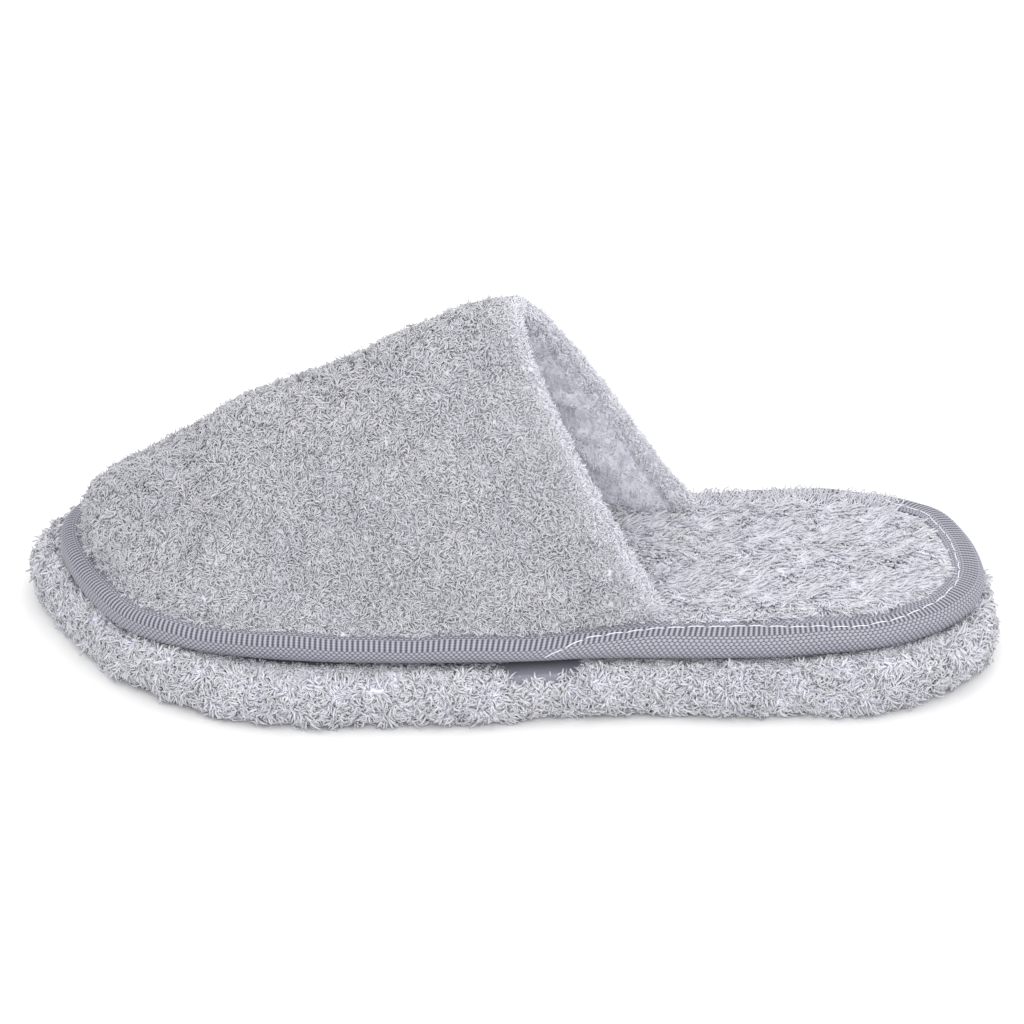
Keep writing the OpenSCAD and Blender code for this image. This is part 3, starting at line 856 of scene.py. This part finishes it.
# ---------------------------------------------------------------- stitches
def thread_line(name, paths, thick, sides=6):
    """Separate lengths of thread as one piece: round tubes along the paths, (n, k, 3)."""
    n, k = paths.shape[:2]
    go = unit(np.gradient(paths, axis=1))
    e = unit(np.cross(go, np.array([0.0, 0.0, 1.0]) + 0 * go))
    f = np.cross(go, e)
    end = np.minimum(np.arange(k), np.arange(k)[::-1])
    r = thick / 2 * np.where(end == 0, 0.35, 1.0)[None, :, None]
    a = 2 * np.pi * np.arange(sides) / sides
    rings = paths[:, :, None] + r[..., None] * (
        np.cos(a)[:, None] * e[:, :, None] + np.sin(a)[:, None] * f[:, :, None])
    points = rings.reshape(-1, 3)
    quads, tris = [], []
    for i in range(k - 1):
        for j in range(sides):
            m = (j + 1) % sides
            quads.append([i * sides + j, i * sides + m, (i + 1) * sides + m, (i + 1) * sides + j])
    caps = [list(range(sides))[::-1], [(k - 1) * sides + j for j in range(sides)]]
    one = np.array([v for q in quads for v in q] + [v for c in caps for v in c])
    sizes = np.array([4] * len(quads) + [sides] * 2)
    loops = (np.arange(n)[:, None] * (k * sides) + one[None, :]).ravel()
    starts = (np.arange(n)[:, None] * len(one)
              + np.concatenate([[0], np.cumsum(sizes)[:-1]])[None, :]).ravel()
    return place(new_mesh(name, points, loops, starts), THREAD)


# the seam wanders over the tape: (place along the outline, share of the tape's width)
SEAM_LINE = np.array([(12.62, 0.56), (12.75, 0.70), (12.85, 0.785), (13.1, 0.795), (13.4, 0.84),
                      (13.76, 0.88), (14.08, 0.80), (14.4, 0.735), (15.0, 0.745), (15.44, 0.82),
                      (16.0, 0.85), (16.8, 0.92), (18.0, 0.90), (19.9, 0.86)])
SEAM_IN = 4.0  # the seam's length is measured this far inside the outline
STITCH, STITCH_GAP, STITCH_T = 5.8, 0.25, 0.31
THROAT_STITCHES, THROAT_STITCH_T = 40, 0.35


def binding_paths():
    """The tape's stitches: each arches a little out of the line of the seam, and off the tape."""
    steps = 4000
    places, run = even_stations(steps, SEAM_LINE[0, 0], SEAM_LINE[-1, 0], SEAM_IN)
    count = int(run / (STITCH + STITCH_GAP))
    f = np.linspace(0, 1, 9)
    along = (np.arange(count) * (STITCH + STITCH_GAP))[:, None] + f[None, :] * STITCH
    u = np.interp(along, np.linspace(0, run, steps), places)
    b = np.interp(u, SEAM_LINE[:, 0], SEAM_LINE[:, 1])
    stray = np.random.default_rng(51).normal(0, 0.005, (count, 1))
    b = b + stray + (0.012 * np.sin(np.pi * f))[None, :]
    lift = 0.25 * np.sin(np.pi * f) ** 0.5 - 0.12
    return tape_point(u, b) + lift[None, :, None] * np.array([0, -0.3, 0.95])


def throat_paths():
    """The stitches that hold the throat's band to the lining."""
    f = np.linspace(0, 1, 7)
    t = 0.03 + 0.94 * (np.arange(THROAT_STITCHES)[:, None] + 0.12 + 0.76 * f[None, :]) / THROAT_STITCHES
    depth = LINING_DEPTH + 0.85 + 0.3 * np.sin(np.pi * f)[None, :] + 0 * t
    return past_throat(t, np.full(t.shape, 0.9 - FACING_W), depth)


stitches = thread_line("binding_stitches", binding_paths(), STITCH_T)
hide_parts("binding_stitch")
throat_seam = thread_line("throat_seam_thread", throat_paths(), THROAT_STITCH_T)
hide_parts("throat_stitch")

# ---------------------------------------------------------------- inside layers, kept from the CAD
for node, finish in (("sole_foam", FOAM), ("bond_layer", BOND), ("insole_board", BOARD),
                     ("insole_foam", FOAM), ("vamp_foam", FOAM)):
    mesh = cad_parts[node].data
    mesh.materials.clear()
    mesh.materials.append(finish)

# ---------------------------------------------------------------- floor, light, camera
floor_mesh = bpy.data.meshes.new("floor")
floor_mesh.from_pydata([(-6, -6, 0), (6, -6, 0), (6, 6, 0), (-6, 6, 0)], [], [(0, 1, 2, 3)])
floor = bpy.data.objects.new("floor", floor_mesh)
bpy.context.scene.collection.objects.link(floor)
floor_paint, nodes, links, shader = material("floor_white")
shader.inputs["Base Color"].default_value = (0.80, 0.80, 0.80, 1)
shader.inputs["Roughness"].default_value = 0.9
floor_mesh.materials.append(floor_paint)

world = bpy.data.worlds.new("studio")
bpy.context.scene.world = world
world.use_nodes = True
world.node_tree.nodes["Background"].inputs[0].default_value = (1, 1, 1, 1)
world.node_tree.nodes["Background"].inputs[1].default_value = 1.18


def lamp(name, place_at, aim, size, watts, colour=(1, 1, 1)):
    data = bpy.data.lights.new(name, "AREA")
    data.size, data.energy, data.color = size, watts, colour
    obj = bpy.data.objects.new(name, data)
    obj.location = place_at
    obj.rotation_euler = (Vector(aim) - Vector(place_at)).to_track_quat("-Z", "Y").to_euler()
    bpy.context.scene.collection.objects.link(obj)


lamp("key", (0.8, -0.65, 0.78), (0, 0, 0.05), 1.1, 4.2)
lamp("fill", (-0.5, -0.3, 1.3), (0, 0, 0.04), 0.9, 3)
lamp("back", (0.3, 0.9, 1.2), (0, 0, 0.04), 0.8, 3)
lamp("front", (0.0, -1.05, 0.72), (0, 0.02, 0.05), 0.7, 4.0)

DISTANCE, ELEVATION = 1.2, math.radians(28.5)
middle = Vector(((tape_low[0] + tape_high[0]) / 2 * MM - 0.002,
                 (pad_low[1] + pad_high[1]) / 2 * MM - 0.0007, 0.040))
camera_data = bpy.data.cameras.new("camera")
camera_data.lens = 139.6
camera_data.sensor_width = 36
camera_data.clip_start = 0.05
camera = bpy.data.objects.new("camera", camera_data)
back = Vector((0, -math.cos(ELEVATION), math.sin(ELEVATION)))
camera.location = middle + back * DISTANCE
camera.rotation_euler = back.to_track_quat("Z", "Y").to_euler()
bpy.context.scene.collection.objects.link(camera)
bpy.context.scene.camera = camera
bpy.context.scene.view_settings.view_transform = "Standard"
